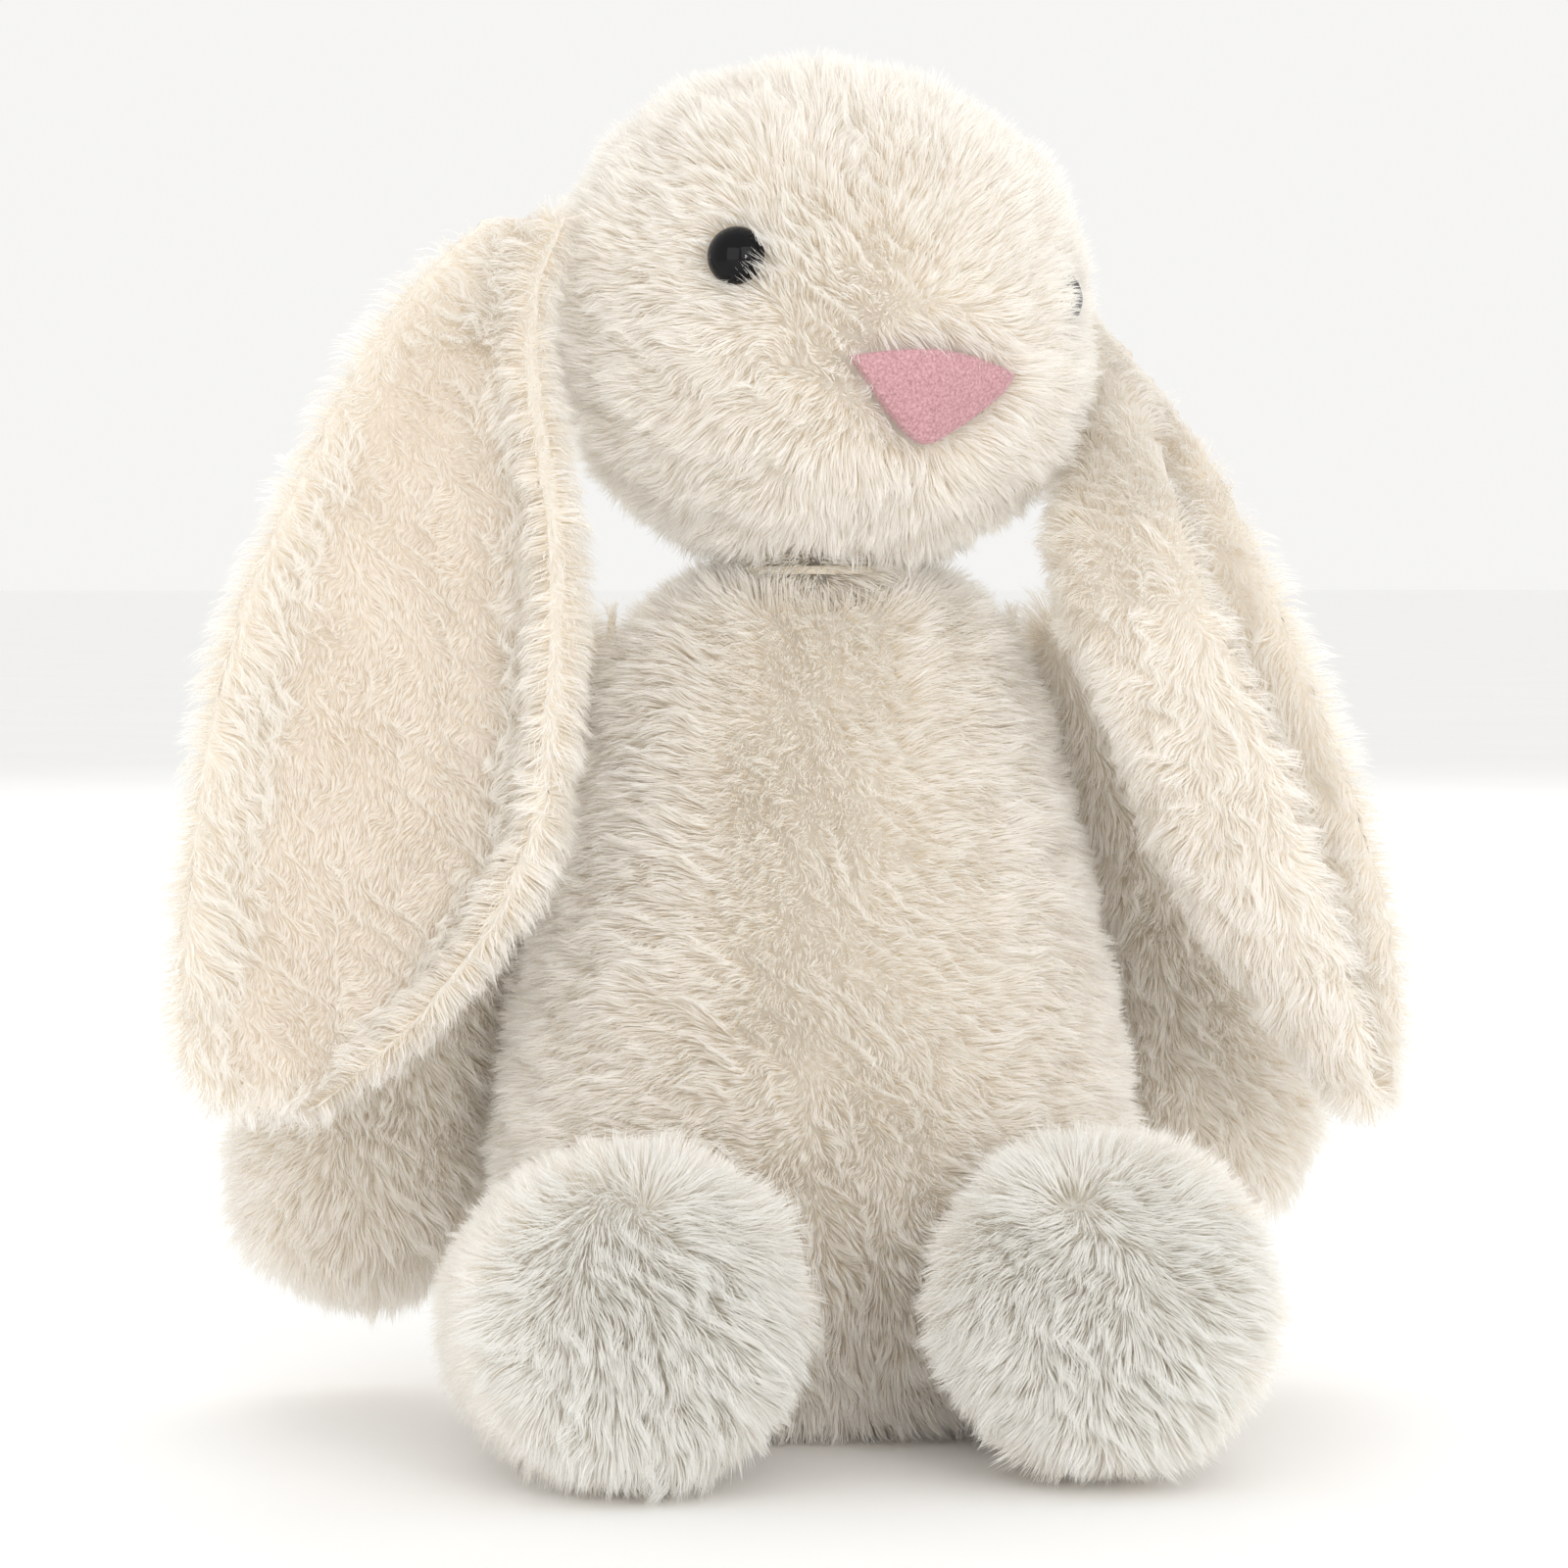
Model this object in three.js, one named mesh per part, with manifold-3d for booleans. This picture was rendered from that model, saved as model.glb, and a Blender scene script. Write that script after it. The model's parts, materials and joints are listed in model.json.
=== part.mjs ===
// A seated stuffed rabbit: plush cover panels around stuffing, sewn limbs, lop ears and safety eyes.
// Millimetres, +Z up. The rabbit faces -Y and its own left side is at +X.
// "left" and "right" in names are the rabbit's own.
import * as THREE from "three";
import { mergeVertices } from "three/addons/utils/BufferGeometryUtils.js";
import Module from "manifold-3d";

const wasm = await Module();
wasm.setup();

const SIDES = ["left", "right"];

// ---- Driving dimensions -------------------------------------------------------------------------
const COVER = 6; // plush fabric with its pile pressed down, the thickness of every cover panel
const SEAM = 0.4; // gap between two panels that are sewn together
const FILL_GAP = 1.2; // gap between a cover and the stuffing inside it
// Facets around a form: its outer face, and what is inside it.
const OUTER = { torso: 24, head: 24, limb: 16 };
const INNER = { torso: 16, head: 18, limb: 12 };

const TORSO_HEIGHT = 243;
// Height as a share of TORSO_HEIGHT, half width, half depth: a pear that is flat underneath.
const TORSO_PROFILE = [
  [0, 74, 62],
  [0.03, 85, 74],
  [0.13, 94, 83],
  [0.3, 93, 84],
  [0.46, 87, 78],
  [0.64, 77, 67],
  [0.8, 66, 56],
  [0.92, 56, 46],
  [0.985, 42, 34],
];
const BASE_SEAM_Z = 12;

const HEAD_CENTRE = new THREE.Vector3(-1, -7, 318);
const HEAD_TURN = THREE.MathUtils.degToRad(21); // the head looks to the rabbit's left
const HEAD_TILT = THREE.MathUtils.degToRad(5); // and leans to that side
const HEAD_HALF = { width: 74, depth: 75, height: 71 };
const HEAD_SQUARENESS = 2.25; // exponent of the head's rounded form, 2 is an ellipsoid
const MUZZLE = { height: 10, spread: 0.62, pitch: -0.3 }; // mm, rad, rad below the horizon
const GUSSET_HALF = 30; // the centre panel that runs from the nose over the crown

const NOSE = { halfWidth: 26, top: -14, bottom: -39, sunk: 1.5, thick: 4 };
const EYE = { radius: 8.2, azimuth: 0.78, pitch: 0.11, sunk: 1.5, shank: 2.2, shankLength: 14 };
const WASHER = { radius: 8, thick: 1.6, depth: 8 };

const NECK = { y: -7, plug: 19, opening: 27, top: 254, bottom: 232 };
const NECK_SEAM = { radius: 22.6, z: 244.6, thread: 1.2 };
const HEAD_OPENING = { low: 225, high: 261 }; // heights that the head's opening for the neck is cut over
const TAIL = { radius: 25, y: 104, z: 46, cut: 88.5 };
const TAIL_SEAM = { radius: 9, thread: 0.7, sunk: 1.6 }; // sunk is how far it lies inside the cut
const POUCH = { radius: 52, y: 14, low: 9, high: 40 };
const CLOSING_SEAM = { low: 70, high: 128, stitches: 5, halfWidth: 3, proud: 1.3, thread: 0.7 };

// Each limb is a chain of spheres, x grows outwards on both sides: [x, y, z, radius].
const ARMS = {
  right: [
    [79, 16, 222, 19],
    [93, 26, 186, 24],
    [112, 36, 142, 31],
    [125, 44, 101, 36],
    [133, 48, 63, 40],
  ],
  left: [
    [79, 16, 222, 19],
    [92, 32, 188, 24],
    [106.5, 45, 150, 30],
    [118.5, 54, 112, 34],
    [122, 58, 79, 39.5],
  ],
};
const ARM_FLATNESS = 0.84; // front to back thickness of an arm as a share of its width
const LEGS = {
  right: [
    [73, -72, 38.5, 37],
    [72, -98, 42, 40],
    [65, -124, 46, 44],
    [61, -149, 49, 47],
  ],
  left: [
    [72, -72, 38.5, 37],
    [69, -98, 42, 40],
    [65, -122, 47, 44],
    [61, -147, 51, 47],
  ],
};
const SOLE_DOME = 0.34; // depth of the sole's dome as a share of the foot's radius
const HIP_CLEARANCE = 3; // between a leg and the hollow it sits in
const HIP_SWEEP = [-50, -25, 0, 25]; // degrees of lift that the hollow leaves room for
const HIP_SEAM = { reach: 38, thread: 0.5, angle: 0.7 };
const SHOULDER_SEAM = { radius: 8, thread: 0.9, distance: 20 };

// Each ear hangs from the side of the head. Stations down it: [z, x outwards, y, half width].
// Its cross-section is a curled strip, from its inner edge, in half widths: across to +X, then back.
// lining gives the rows and the columns of that strip's grid that the lining covers.
const EAR_GRID = { rows: 12, columns: 10 };
const EAR_THICK = 9;
const LINING_THICK = 3;
const EAR_FULL_HALF = 22; // narrower than this half width, an ear's fabric is gathered thinner
const EARS = {
  right: {
    stations: [
      [346, 86, -30, 13],
      [321, 103.5, -40, 20.5],
      [299, 110.5, -47, 28],
      [271, 114.5, -53, 37.5],
      [242, 119.6, -56, 46],
      [217, 124, -57, 50],
      [191, 127.5, -57, 52],
      [162, 132.5, -57, 50.5],
      [131, 144.5, -56, 41],
      [109, 155.5, -55, 29.5],
      [92, 161, -54, 13],
    ],
    section: [
      [0.84, -0.56],
      [0.9, -0.26],
      [0.6, 0.04],
      [0.15, 0.18],
      [-0.3, 0.18],
      [-0.72, 0.04],
      [-1, -0.12],
    ],
    lining: [[2, 11], [3, 8]],
  },
  left: {
    stations: [
      [332, 73, 36, 7],
      [316, 80.5, 32, 11.5],
      [296, 91, 12, 15],
      [272, 93.5, -22, 22.5],
      [249, 91.5, -46, 30.5],
      [227, 98.5, -53, 31.3],
      [201, 111, -55, 30.8],
      [175, 119.5, -55, 30.5],
      [148, 131, -54, 27.5],
      [122, 143, -52, 19.5],
      [104, 150.5, -50, 13.5],
      [90, 154, -49, 8],
    ],
    section: [
      [0.25, -0.8],
      [-0.3, -0.86],
      [-0.86, -0.56],
      [-0.86, -0.02],
      [-0.25, 0.24],
      [0.45, 0.14],
      [1, -0.18],
    ],
    lining: [[2, 11], [2, 8]],
  },
};

// ---- Materials ----------------------------------------------------------------------------------
const plush = new THREE.MeshStandardMaterial({ color: 0xefe6d6, roughness: 0.95 });
const pawPlush = new THREE.MeshStandardMaterial({ color: 0xf4f2ee, roughness: 0.95 });
const liningPlush = new THREE.MeshStandardMaterial({ color: 0xf0dccb, roughness: 0.95 });
const noseVelour = new THREE.MeshStandardMaterial({ color: 0xdca3ae, roughness: 0.85 });
const fill = new THREE.MeshStandardMaterial({ color: 0xf7f7f5, roughness: 1 });
const pouchCloth = new THREE.MeshStandardMaterial({ color: 0xd9d3c7, roughness: 0.9 });
const eyePlastic = new THREE.MeshStandardMaterial({ color: 0x0a0a0b, roughness: 0.08 });
const washerPlastic = new THREE.MeshStandardMaterial({ color: 0xe8e8e6, roughness: 0.5 });
const thread = new THREE.MeshStandardMaterial({ color: 0xe9e0cf, roughness: 0.8 });

// ---- Geometry helpers ---------------------------------------------------------------------------
function geometryOf(points, triangles) {
  const geometry = new THREE.BufferGeometry().setFromPoints(points);
  geometry.setIndex(triangles);
  return geometry;
}

// A closed geometry as a manifold solid, turned the right way out.
function solid(geometry) {
  const bare = new THREE.BufferGeometry().setAttribute("position", geometry.getAttribute("position"));
  bare.setIndex(geometry.index);
  const merged = mergeVertices(bare, 1e-4);
  const build = (triVerts) =>
    new wasm.Manifold(
      new wasm.Mesh({ numProp: 3, vertProperties: merged.attributes.position.array, triVerts }),
    );
  const made = build(new Uint32Array(merged.index.array));
  return made.volume() < 0 ? build(new Uint32Array(merged.index.array).reverse()) : made;
}

// The largest body of a solid, as a named mesh.
function part(name, manifold, material) {
  const body = manifold.decompose().sort((a, b) => b.volume() - a.volume())[0];
  const cut = body.getMesh();
  const geometry = new THREE.BufferGeometry();
  geometry.setAttribute("position", new THREE.BufferAttribute(cut.vertProperties, 3));
  geometry.setIndex(new THREE.BufferAttribute(cut.triVerts, 1));
  geometry.computeVertexNormals();
  const mesh = new THREE.Mesh(geometry, material);
  mesh.name = name;
  return mesh;
}

function intersection(first, ...others) {
  return others.reduce((whole, other) => whole.intersect(other), first);
}

// Everything on the side of a plane that its normal points to.
function halfSpace(point, normal) {
  const size = 1200;
  const box = new THREE.BoxGeometry(size, size, size);
  const turn = new THREE.Quaternion().setFromUnitVectors(
    new THREE.Vector3(0, 0, 1),
    normal.clone().normalize(),
  );
  box.translate(0, 0, size / 2).applyQuaternion(turn).translate(point.x, point.y, point.z);
  return solid(box);
}

function slabBetween(axis, low, high) {
  const size = new THREE.Vector3(1200, 1200, 1200).setComponent(axis, high - low);
  const box = new THREE.BoxGeometry(size.x, size.y, size.z);
  const centre = new THREE.Vector3().setComponent(axis, (high + low) / 2);
  return solid(box.translate(centre.x, centre.y, centre.z));
}

// A solid through rings of equal length, closed by one point at each end.
function loft(rings, first, last) {
  const n = rings[0].length;
  const points = [first, ...rings.flat(), last];
  const triangles = [];
  const at = (ring, i) => 1 + ring * n + (i % n);
  for (let i = 0; i < n; i++) {
    triangles.push(0, at(0, i + 1), at(0, i));
    triangles.push(points.length - 1, at(rings.length - 1, i), at(rings.length - 1, i + 1));
    for (let ring = 0; ring + 1 < rings.length; ring++) {
      triangles.push(at(ring, i), at(ring, i + 1), at(ring + 1, i));
      triangles.push(at(ring, i + 1), at(ring + 1, i + 1), at(ring + 1, i));
    }
  }
  return solid(geometryOf(points, triangles));
}

// A sheet with thickness: front(row, column) and back(row, column) are its two faces.
function sheet(rows, columns, front, back) {
  const points = [];
  for (const face of [front, back])
    for (let r = 0; r < rows; r++) for (let c = 0; c < columns; c++) points.push(face(r, c));
  const at = (side, r, c) => side * rows * columns + r * columns + c;
  const triangles = [];
  const quad = (a, b, c, d) => triangles.push(a, b, c, a, c, d);
  for (let r = 0; r + 1 < rows; r++) {
    for (let c = 0; c + 1 < columns; c++) {
      quad(at(0, r, c), at(0, r, c + 1), at(0, r + 1, c + 1), at(0, r + 1, c));
      quad(at(1, r + 1, c), at(1, r + 1, c + 1), at(1, r, c + 1), at(1, r, c));
    }
    quad(at(0, r + 1, 0), at(1, r + 1, 0), at(1, r, 0), at(0, r, 0));
    quad(at(0, r, columns - 1), at(1, r, columns - 1), at(1, r + 1, columns - 1), at(0, r + 1, columns - 1));
  }
  for (let c = 0; c + 1 < columns; c++) {
    quad(at(0, 0, c), at(1, 0, c), at(1, 0, c + 1), at(0, 0, c + 1));
    quad(at(0, rows - 1, c + 1), at(1, rows - 1, c + 1), at(1, rows - 1, c), at(0, rows - 1, c));
  }
  return solid(geometryOf(points, triangles));
}

// ---- Torso --------------------------------------------------------------------------------------
// The torso's outer form, made smaller by inset on every side (larger where inset is negative).
function torsoForm(inset) {
  const around = inset > 0 ? INNER.torso : OUTER.torso;
  const scale = (TORSO_HEIGHT - 2 * inset) / TORSO_HEIGHT;
  const rings = TORSO_PROFILE.map(([share, width, depth]) =>
    Array.from({ length: around }, (_, i) => {
      const angle = (2 * Math.PI * i) / around;
      const z = inset + share * TORSO_HEIGHT * scale;
      return new THREE.Vector3((width - inset) * Math.cos(angle), (depth - inset) * Math.sin(angle), z);
    }),
  );
  return loft(rings, new THREE.Vector3(0, 0, inset), new THREE.Vector3(0, 0, TORSO_HEIGHT - inset));
}

function sideOf(name) {
  return name === "left" ? 1 : -1;
}

// ---- Limbs --------------------------------------------------------------------------------------
// A chain of spheres as a smooth tube with round ends. endFlat squeezes the last end's dome.
function limbForm(chain, side, inset, { endFlat = 1, flatness = 1 } = {}) {
  const around = inset > 0 ? INNER.limb : OUTER.limb;
  const steps = 2;
  const capSteps = 2;
  const centres = chain.map(([x, y, z]) => new THREE.Vector3(side * x, y, z));
  const curve = new THREE.CatmullRomCurve3(centres);
  const last = chain.length - 1;
  const radiusAt = (t) => {
    const i = Math.min(Math.floor(t * last), last - 1);
    return THREE.MathUtils.lerp(chain[i][3], chain[i + 1][3], t * last - i) - inset;
  };
  const ring = (centre, along, radius) => {
    const across = new THREE.Vector3(1, 0, 0).addScaledVector(along, -along.x).normalize();
    const up = new THREE.Vector3().crossVectors(along, across);
    return Array.from({ length: around }, (_, i) => {
      const angle = (2 * Math.PI * i) / around;
      return centre
        .clone()
        .addScaledVector(across, radius * Math.cos(angle))
        .addScaledVector(up, radius * flatness * Math.sin(angle));
    });
  };
  // A dome of rings at one end, from its tip inwards.
  const dome = (centre, outwards, along, radius, flat) =>
    Array.from({ length: capSteps }, (_, k) => {
      const angle = (Math.PI / 2) * ((k + 1) / (capSteps + 1));
      const place = centre.clone().addScaledVector(outwards, radius * flat * Math.cos(angle));
      return ring(place, along, radius * Math.sin(angle));
    });
  const startAlong = curve.getTangent(0);
  const endAlong = curve.getTangent(1);
  const startOut = startAlong.clone().negate();
  const endFlatInset = endFlat < 1 ? -inset * (1 - endFlat) : 0;
  const endRadius = radiusAt(1);
  const endCentre = centres[last].clone().addScaledVector(endAlong, endFlatInset);
  const middle = Array.from({ length: last * steps + 1 }, (_, k) => {
    const t = k / (last * steps);
    const centre = k === last * steps ? endCentre : curve.getPoint(t);
    return ring(centre, curve.getTangent(t), radiusAt(t));
  });
  const rings = [
    ...dome(centres[0], startOut, startAlong, radiusAt(0), 1),
    ...middle,
    ...dome(endCentre, endAlong, endAlong, endRadius, endFlat).reverse(),
  ];
  return loft(
    rings,
    centres[0].clone().addScaledVector(startOut, radiusAt(0)),
    endCentre.clone().addScaledVector(endAlong, endRadius * endFlat),
  );
}

// ---- Head ---------------------------------------------------------------------------------------
function direction(azimuth, pitch) {
  return new THREE.Vector3(
    Math.sin(azimuth) * Math.cos(pitch),
    -Math.cos(azimuth) * Math.cos(pitch),
    Math.sin(pitch),
  );
}

// Distance from the head's centre to its surface, in the head's own frame: a squared ball and a muzzle.
function headRadius(along) {
  const p = HEAD_SQUARENESS;
  const sum =
    Math.abs(along.x / HEAD_HALF.width) ** p +
    Math.abs(along.y / HEAD_HALF.depth) ** p +
    Math.abs(along.z / HEAD_HALF.height) ** p;
  const off = along.angleTo(direction(0, MUZZLE.pitch)) / MUZZLE.spread;
  return sum ** (-1 / p) + MUZZLE.height * Math.exp(-off * off);
}

function headForm(inset, around = inset > NOSE.sunk + NOSE.thick ? INNER.head : OUTER.head) {
  const down = around / 2;
  const point = (azimuth, pitch) => {
    const along = direction(azimuth, pitch);
    return along.clone().multiplyScalar(headRadius(along) - inset);
  };
  const rings = Array.from({ length: down - 1 }, (_, k) => {
    const pitch = -Math.PI / 2 + (Math.PI * (k + 1)) / down;
    return Array.from({ length: around }, (_, i) => point((2 * Math.PI * i) / around, pitch));
  });
  return loft(rings, point(0, -Math.PI / 2), point(0, Math.PI / 2));
}

// A rounded triangle with its point down, run through the front of the head.
function nosePrism(grow) {
  const w = NOSE.halfWidth + grow;
  const top = NOSE.top + grow;
  const bottom = NOSE.bottom - grow;
  const shape = new THREE.Shape();
  shape.moveTo(-w, top - 3);
  shape.quadraticCurveTo(-w * 0.45, top + 1, 0, top + 1);
  shape.quadraticCurveTo(w * 0.45, top + 1, w, top - 3);
  shape.quadraticCurveTo(w * 0.62, bottom + 9, w * 0.12, bottom + 1);
  shape.quadraticCurveTo(0, bottom - 1, -w * 0.12, bottom + 1);
  shape.quadraticCurveTo(-w * 0.62, bottom + 9, -w, top - 3);
  const prism = new THREE.ExtrudeGeometry(shape, { depth: 70, bevelEnabled: false, curveSegments: 5 });
  return solid(prism.rotateX(Math.PI / 2).translate(0, -40, 0));
}

// A profile of [radius, height] points turned about an eye's axis, which points out of the head.
function aboutEyeAxis(profile, side) {
  const along = direction(side * EYE.azimuth, EYE.pitch);
  const lathe = new THREE.LatheGeometry(
    profile.map(([r, h]) => new THREE.Vector2(r, h)),
    16,
  );
  const centre = along.clone().multiplyScalar(headRadius(along) - EYE.sunk);
  const turn = new THREE.Quaternion().setFromUnitVectors(new THREE.Vector3(0, 1, 0), along);
  return solid(lathe.applyQuaternion(turn).translate(centre.x, centre.y, centre.z));
}

function domeProfile(radius, shank, depth) {
  const arc = Array.from({ length: 6 }, (_, k) => {
    const angle = (Math.PI / 2) * (k / 5);
    return [radius * Math.cos(angle), radius * 0.85 * Math.sin(angle)];
  });
  arc[5][0] = 0;
  return [[0, -depth], [shank, -depth], [shank, -1.5], [radius - 1, -1.5], ...arc];
}

function eyeBead(side, grow = 0) {
  return aboutEyeAxis(domeProfile(EYE.radius + grow, EYE.shank + grow, EYE.shankLength + grow), side);
}

function eyeWasher(side, grow = 0) {
  const outer = -WASHER.depth + grow;
  const inner = -WASHER.depth - WASHER.thick - grow;
  const hole = grow > 0 ? 0 : EYE.shank + 0.3;
  const rim = WASHER.radius + grow;
  return aboutEyeAxis([[hole, inner], [rim, inner], [rim, outer], [hole, outer], [hole, inner]], side);
}

// Where the head's own frame stands: tilted about its forward axis, then turned.
function headPose() {
  return new THREE.Matrix4()
    .makeRotationZ(HEAD_TURN)
    .multiply(new THREE.Matrix4().makeRotationY(HEAD_TILT))
    .setPosition(HEAD_CENTRE);
}

function buildHead() {
  const pose = headPose();
  const { low, high } = HEAD_OPENING;
  const neckOpening = upright(NECK.opening, low, high, NECK.y, pose.clone().invert());
  const shell = headForm(0).subtract(headForm(COVER));
  const bare = SIDES.reduce(
    (whole, name) => whole.subtract(eyeBead(sideOf(name), SEAM)),
    shell.subtract(nosePrism(SEAM)).subtract(neckOpening),
  );
  const gussetZone = (grow) =>
    slabBetween(0, -GUSSET_HALF - grow, GUSSET_HALF + grow).intersect(
      halfSpace(new THREE.Vector3(0, 0, -7 - grow), new THREE.Vector3(0, 0, 1)),
    );
  const sides = bare.subtract(gussetZone(SEAM));
  const nose = headForm(NOSE.sunk)
    .subtract(headForm(NOSE.sunk + NOSE.thick))
    .intersect(nosePrism(0));
  const head = new THREE.Group();
  head.add(part("head_gusset", bare.intersect(gussetZone(0)), plush));
  head.add(part("nose_patch", nose, noseVelour));
  let stuffing = headForm(COVER + FILL_GAP).subtract(neckOpening);
  for (const name of SIDES) {
    const side = sideOf(name);
    const half = slabBetween(0, Math.min(side * SEAM, side * 200), Math.max(side * SEAM, side * 200));
    head.add(part(`head_side_${name}`, sides.intersect(half), plush));
    head.add(part(`eye_${name}_bead`, eyeBead(side), eyePlastic));
    head.add(part(`eye_${name}_washer`, eyeWasher(side), washerPlastic));
    stuffing = stuffing.subtract(eyeBead(side, FILL_GAP)).subtract(eyeWasher(side, FILL_GAP));
  }
  head.add(part("head_stuffing", stuffing, fill));
  head.applyMatrix4(pose);
  return head;
}

// ---- Torso pieces -------------------------------------------------------------------------------
function ball(centre, radius) {
  const geometry = new THREE.SphereGeometry(radius, 16, 8);
  return solid(geometry.translate(centre.x, centre.y, centre.z));
}

// A vertical cylinder on the centre plane, moved by an optional matrix.
function upright(radius, low, high, y, move = new THREE.Matrix4()) {
  const post = new THREE.CylinderGeometry(radius, radius, high - low, 20);
  return solid(post.rotateX(Math.PI / 2).translate(0, y, (low + high) / 2).applyMatrix4(move));
}

// A closed loop of sewing thread in the plane that axis stands on.
function threadLoop(centre, axis, radius, threadRadius) {
  const torus = new THREE.TorusGeometry(radius, threadRadius, 5, 14);
  const turn = new THREE.Quaternion().setFromUnitVectors(
    new THREE.Vector3(0, 0, 1),
    axis.clone().normalize(),
  );
  return solid(torus.applyQuaternion(turn).translate(centre.x, centre.y, centre.z));
}

function hipCentre(name) {
  const [x, y, z] = LEGS[name][0];
  return new THREE.Vector3(sideOf(name) * x, y, z);
}

// The torso form with a hollow at each hip for the leg's round end and for its swing.
function torsoWithHips(inset) {
  const room = HIP_CLEARANCE + inset;
  return SIDES.reduce((form, name) => {
    const hip = hipCentre(name);
    const [x, y, z, radius] = LEGS[name][1];
    const next = new THREE.Vector3(sideOf(name) * x, y, z).sub(hip);
    const swept = HIP_SWEEP.map((lift) => {
      const turned = next.clone().applyAxisAngle(new THREE.Vector3(-1, 0, 0), THREE.MathUtils.degToRad(lift));
      return ball(turned.add(hip), radius + room);
    });
    return [ball(hip, LEGS[name][0][3] + room), ...swept].reduce((left, cut) => left.subtract(cut), form);
  }, torsoForm(inset));
}

function buildTorso() {
  const torso = new THREE.Group();
  const neckHole = upright(NECK.opening, NECK.bottom - 4, TORSO_HEIGHT + 20, NECK.y);
  const shell = torsoWithHips(0).subtract(torsoWithHips(COVER)).subtract(neckHole);
  const above = slabBetween(2, BASE_SEAM_Z + SEAM, 400);
  torso.add(part("body_base", torsoWithHips(0).intersect(slabBetween(2, -1, COVER)), plush));
  for (const name of SIDES) {
    const half = halfSpace(new THREE.Vector3((sideOf(name) * SEAM) / 2, 0, 0), outwards(name));
    const front = halfSpace(new THREE.Vector3(0, -SEAM / 2, 0), new THREE.Vector3(0, -1, 0));
    const back = halfSpace(new THREE.Vector3(0, SEAM / 2, 0), new THREE.Vector3(0, 1, 0));
    torso.add(part(`body_front_${name}`, intersection(shell, half, front, above), plush));
    torso.add(part(`body_back_${name}`, intersection(shell, half, back, above), plush));
    torso.add(hipThread(name), shoulderThread(name));
  }
  const pouch = upright(POUCH.radius, POUCH.low, POUCH.high, POUCH.y);
  const pouchRoom = upright(POUCH.radius + FILL_GAP, 0, POUCH.high + FILL_GAP, POUCH.y);
  const plugRoom = upright(NECK.plug + 2, NECK.bottom - 2, TORSO_HEIGHT + 20, NECK.y);
  const filling = torsoWithHips(COVER + FILL_GAP).subtract(pouchRoom).subtract(plugRoom);
  torso.add(part("body_stuffing", filling, fill));
  torso.add(part("body_pellet_pouch", pouch, pouchCloth));
  torso.add(closingSeam());
  return torso;
}

function hipThread(name) {
  const away = new THREE.Vector3(0, 1, 0);
  const centre = hipCentre(name).addScaledVector(away, HIP_SEAM.reach * Math.cos(HIP_SEAM.angle));
  const radius = HIP_SEAM.reach * Math.sin(HIP_SEAM.angle);
  return part(`leg_${name}_stitching`, threadLoop(centre, away, radius, HIP_SEAM.thread), thread);
}

function shoulderThread(name) {
  const [x, y, z] = ARMS[name][0];
  const centre = new THREE.Vector3(sideOf(name) * (x - SHOULDER_SEAM.distance), y, z);
  const loop = threadLoop(centre, outwards(name), SHOULDER_SEAM.radius, SHOULDER_SEAM.thread);
  return part(`arm_${name}_stitching`, loop, thread);
}

// The hand-sewn zigzag that closes the centre back seam after stuffing, one thread.
function closingSeam() {
  const { low, high, stitches, halfWidth, proud, thread: radius } = CLOSING_SEAM;
  const points = Array.from({ length: 2 * stitches + 1 }, (_, i) => {
    const z = THREE.MathUtils.lerp(low, high, i / (2 * stitches));
    return new THREE.Vector3(i % 2 ? halfWidth : -halfWidth, backAt(z) + proud, z);
  });
  const section = new THREE.Shape().absarc(0, 0, radius, 0, 2 * Math.PI);
  const curve = new THREE.CatmullRomCurve3(points);
  const settings = { steps: 6 * stitches, extrudePath: curve, curveSegments: 3 };
  return part("body_closing_stitches", solid(new THREE.ExtrudeGeometry(section, settings)), thread);
}

// How far back the torso reaches at height z, on its centre line.
function backAt(z) {
  const share = z / TORSO_HEIGHT;
  const i = TORSO_PROFILE.findIndex(([high]) => high >= share);
  const [lowShare, , lowDepth] = TORSO_PROFILE[i - 1];
  const [highShare, , highDepth] = TORSO_PROFILE[i];
  return THREE.MathUtils.mapLinear(share, lowShare, highShare, lowDepth, highDepth);
}

// ---- Neck ---------------------------------------------------------------------------------------
function buildNeck() {
  const neck = new THREE.Group();
  const plug = upright(NECK.plug, NECK.bottom, NECK.top, NECK.y);
  const centre = new THREE.Vector3(0, NECK.y, NECK_SEAM.z);
  const loop = threadLoop(centre, new THREE.Vector3(0, 0, 1), NECK_SEAM.radius, NECK_SEAM.thread);
  neck.add(part("neck_stuffing", plug, fill));
  neck.add(part("neck_stitching", loop, thread));
  return neck;
}

// ---- Arms and legs ------------------------------------------------------------------------------
function outwards(name) {
  return new THREE.Vector3(sideOf(name), 0, 0);
}

// A plane along a limb that parts its outer panel from its inner one.
function limbSplit(chain, side) {
  const start = chain[0];
  const end = chain.at(-1);
  const along = new THREE.Vector3(side * (end[0] - start[0]), end[1] - start[1], end[2] - start[2]);
  const middle = chain[Math.floor(chain.length / 2)];
  const point = new THREE.Vector3(side * middle[0], middle[1], middle[2]);
  return { along: along.normalize(), point };
}

function limbHalves(prefix, cover, { point, normal }) {
  const shift = normal.clone().multiplyScalar(SEAM / 2);
  return [
    part(`${prefix}_outer`, cover.intersect(halfSpace(point.clone().add(shift), normal)), plush),
    part(
      `${prefix}_inner`,
      cover.intersect(halfSpace(point.clone().sub(shift), normal.clone().negate())),
      plush,
    ),
  ];
}

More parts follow.
